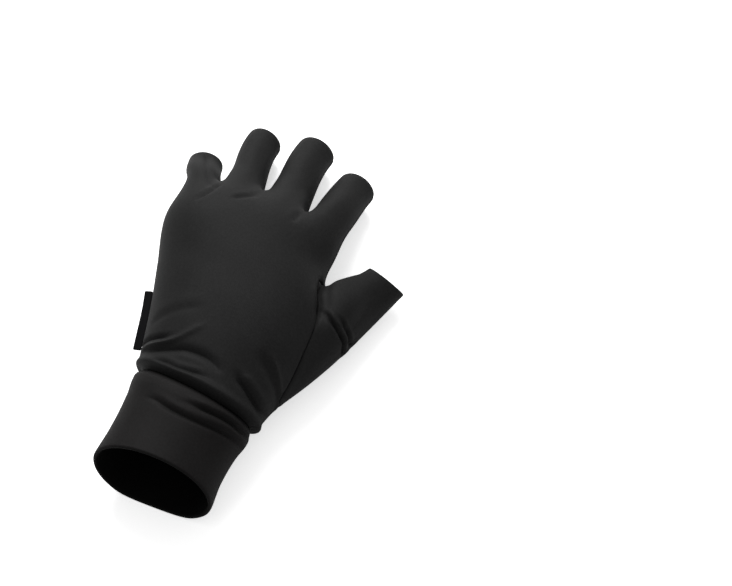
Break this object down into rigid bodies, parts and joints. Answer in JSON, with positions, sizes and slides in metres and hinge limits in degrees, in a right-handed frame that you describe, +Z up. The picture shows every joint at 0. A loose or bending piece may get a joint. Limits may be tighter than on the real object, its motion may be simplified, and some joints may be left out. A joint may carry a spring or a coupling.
{
  "type": "fishing glove",
  "caption": "Half-finger stretch-jersey glove for the left hand, lying palm down and holding the form of a hand, with a folded wrist cuff and a tab label in its side seam.",
  "frame": {"origin": "on the floor under the middle of the palm", "axes": "+Y towards the fingertips, +X towards the thumb, +Z up, out of the back of the hand"},
  "size_m": [0.1423, 0.2344, 0.05],
  "materials": {
    "jersey": "matte stretch jersey",
    "cuff_jersey": "matte stretch jersey, folded double",
    "label_tape": "woven tape"
  },
  "bodies": {
    "root": {"back_panel": "jersey", "palm_panel": "jersey", "thumb_panel": "jersey", "cuff": "cuff_jersey", "label_tab": "label_tape"}
  },
  "joints": []
}
